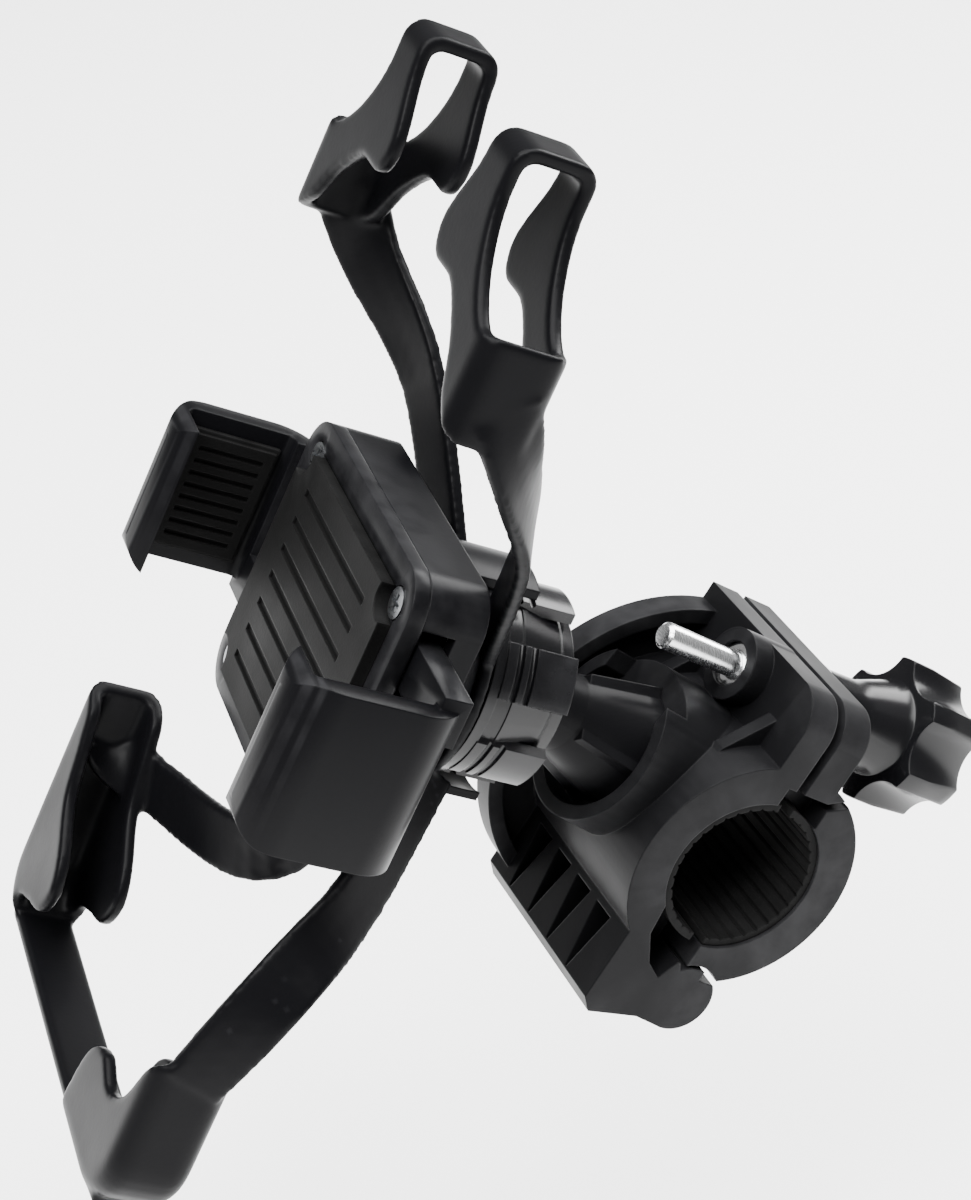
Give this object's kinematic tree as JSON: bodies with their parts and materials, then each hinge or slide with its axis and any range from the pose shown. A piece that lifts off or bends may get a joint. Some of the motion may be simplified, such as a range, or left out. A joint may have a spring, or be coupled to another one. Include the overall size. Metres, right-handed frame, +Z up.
{
  "type": "phone handlebar mount",
  "caption": "Black phone mount for a motorcycle handlebar: geared side jaws, a stretched silicone corner band, a locking ball joint and a hinged handlebar clamp with a knob bolt.",
  "frame": {"origin": "on the handlebar's axis, at the middle of the clamp bore", "axes": "+X along the handlebar, +Y horizontal, away from the rider and the phone, +Z up"},
  "size_m": [0.0866, 0.1499, 0.1471],
  "materials": {
    "clamp_plastic": "satin",
    "stem_plastic": "satin",
    "housing_plastic": "satin",
    "knob_plastic": "semi-gloss",
    "cup_plastic": "semi-gloss",
    "gear_plastic": "satin",
    "liner_rubber": "matte",
    "pad_rubber": "matte",
    "band_silicone": "satin",
    "bright_steel": "polished",
    "plated_nut": "bright",
    "dark_steel": "satin",
    "spring_steel": "satin"
  },
  "bodies": {
    "clamp": {"clamp_body": "clamp_plastic", "body_liner": "liner_rubber", "hinge_pin": "dark_steel", "clamp_nut": "plated_nut", "ball_stem": "stem_plastic", "stem_screw": "bright_steel", "stem_washer": "bright_steel"},
    "cap": {"clamp_cap": "clamp_plastic", "cap_liner": "liner_rubber"},
    "washer": {"knob_washer": "bright_steel"},
    "knob": {"clamp_bolt": "bright_steel", "knob": "knob_plastic"},
    "tilt_ring": {"friction_ring": "cup_plastic"},
    "turn_cup": {"ball_cup": "cup_plastic"},
    "cradle": {"back_housing": "housing_plastic", "front_cover": "housing_plastic", "cushion_pad": "pad_rubber", "pinion_pin": "dark_steel", "cover_screws": "dark_steel", "jaw_spring": "spring_steel", "button_spring": "spring_steel", "silicone_band": "band_silicone"},
    "collar": {"lock_collar": "knob_plastic"},
    "right_jaw": {"right_jaw": "housing_plastic", "right_jaw_pad": "pad_rubber"},
    "left_jaw": {"left_jaw": "housing_plastic", "left_jaw_pad": "pad_rubber"},
    "pinion": {"pinion": "gear_plastic"},
    "button": {"release_button": "housing_plastic"}
  },
  "joints": [
    {"name": "cap_swing", "type": "hinge", "parent": "clamp", "child": "cap", "pos_m": [0, -0.00933, -0.01968], "axis": [-1, 0, 0], "range_deg": [0, 6.5]},
    {"name": "washer_slide", "type": "slide", "parent": "clamp", "child": "washer", "axis": [0, 0.8231, -0.5678], "range_m": [0, 0.006]},
    {"name": "knob_spin", "type": "hinge", "parent": "washer", "child": "knob", "pos_m": [0, 0.01346, 0.01951], "axis": [0, 0.8231, -0.5678], "range_deg": [0, 2700]},
    {"name": "cradle_tilt", "type": "hinge", "parent": "clamp", "child": "tilt_ring", "pos_m": [0, -0.03038, 0.0308], "axis": [1, 0, 0], "range_deg": [-33, 2.5]},
    {"name": "cradle_turn", "type": "hinge", "parent": "tilt_ring", "child": "turn_cup", "pos_m": [0, -0.03038, 0.0308], "axis": [0, 0.5678, 0.8231], "range_deg": [-12, 23]},
    {"name": "cradle_spin", "type": "hinge", "parent": "turn_cup", "child": "cradle", "pos_m": [0, -0.03038, 0.0308], "axis": [0.1071, 0.9, -0.4226], "continuous": true},
    {"name": "collar_turn", "type": "hinge", "parent": "cradle", "child": "collar", "pos_m": [0, -0.03038, 0.0308], "axis": [0.1071, 0.9, -0.4226], "range_deg": [0, 90]},
    {"name": "right_jaw_slide", "type": "slide", "parent": "cradle", "child": "right_jaw", "axis": [0.9941, -0.1044, 0.0296], "range_m": [-0.00942, 0.00628], "deforming": ["jaw_spring"]},
    {"name": "left_jaw_slide", "type": "slide", "parent": "cradle", "child": "left_jaw", "axis": [-0.9941, 0.1044, -0.0296], "range_m": [-0.00942, 0.00628]},
    {"name": "pinion_spin", "type": "hinge", "parent": "cradle", "child": "pinion", "pos_m": [0, -0.03038, 0.0308], "axis": [0.1071, 0.9, -0.4226], "range_deg": [-90, 60]},
    {"name": "button_press", "type": "slide", "parent": "cradle", "child": "button", "axis": [0.0175, 0.4232, 0.9059], "range_m": [0, 0.0015], "stiffness_N_per_m": 250, "springref_m": -0.002, "deforming": ["button_spring"]}
  ],
  "couplings": [
    {"joint": "cap_swing", "follows": "knob_spin", "ratio": 0.0024074},
    {"joint": "washer_slide", "follows": "knob_spin", "m_per_rad": 0.00012732},
    {"joint": "left_jaw_slide", "follows": "right_jaw_slide", "ratio": 1},
    {"joint": "pinion_spin", "follows": "right_jaw_slide", "rad_per_m": 166.67}
  ]
}
